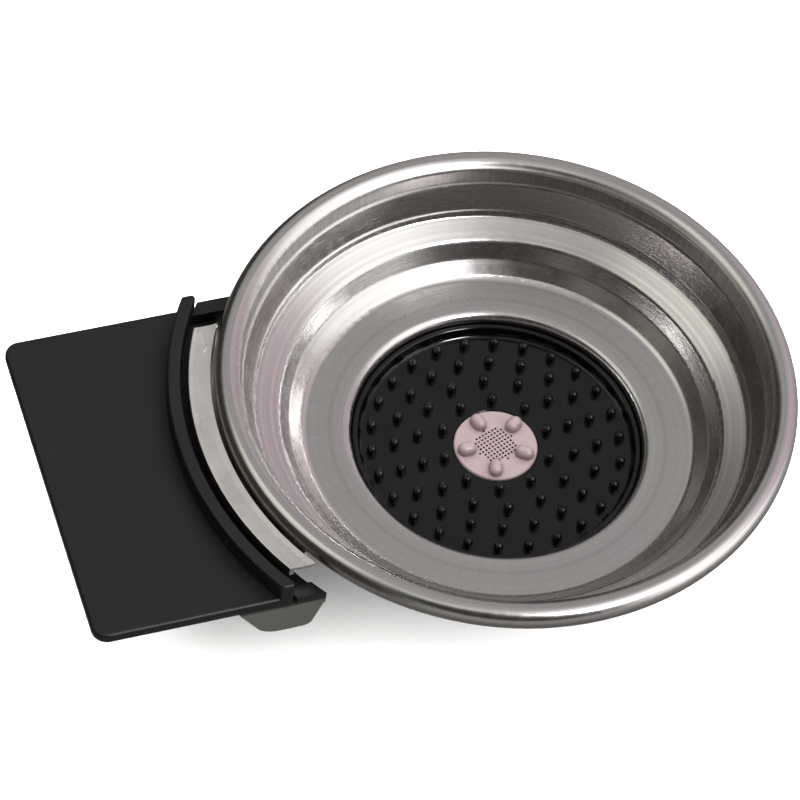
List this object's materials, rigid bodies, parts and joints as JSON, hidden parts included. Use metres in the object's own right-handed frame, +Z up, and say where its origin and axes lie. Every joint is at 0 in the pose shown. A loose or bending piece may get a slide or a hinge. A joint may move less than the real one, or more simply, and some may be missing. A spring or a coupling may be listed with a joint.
{
  "type": "portafilter",
  "caption": "Single-cup pad holder: spun steel bowl with a curled rim, black pimpled pad support with a snap-in sieve, collector cup below and a flat black plastic handle.",
  "frame": {"origin": "on the bowl's axis in the foot plane, at the mouth of the outlet", "axes": "+Z up along the bowl's axis, the handle points to -Y, +X to the right seen from behind the handle looking towards +Y"},
  "size_m": [0.12, 0.1567, 0.0406],
  "materials": {
    "bowl_steel": "polished",
    "bracket_steel": "satin",
    "sieve_plastic": "satin, warm grey-pink",
    "nozzle_steel": "satin",
    "screw_steel": "satin",
    "support_plastic": "semi-gloss",
    "collector_plastic": "matte",
    "handle_plastic": "fine texture",
    "black_silicone": "matte"
  },
  "bodies": {
    "holder": {"bowl": "bowl_steel", "pad_support": "support_plastic", "bowl_gasket": "black_silicone", "sieve_seal": "black_silicone", "jet_nozzle": "nozzle_steel", "collector": "collector_plastic", "collector_seal": "black_silicone", "jet_breaker": "collector_plastic", "collector_screws": "screw_steel", "handle_bracket": "bracket_steel", "handle_plate": "handle_plastic", "handle_clamp": "handle_plastic", "handle_screws": "screw_steel"},
    "sieve_insert": {"sieve": "sieve_plastic"}
  },
  "joints": [
    {"name": "sieve_lift", "type": "slide", "parent": "holder", "child": "sieve_insert", "axis": [0, 0, 1], "range_m": [0, 0.02]}
  ]
}
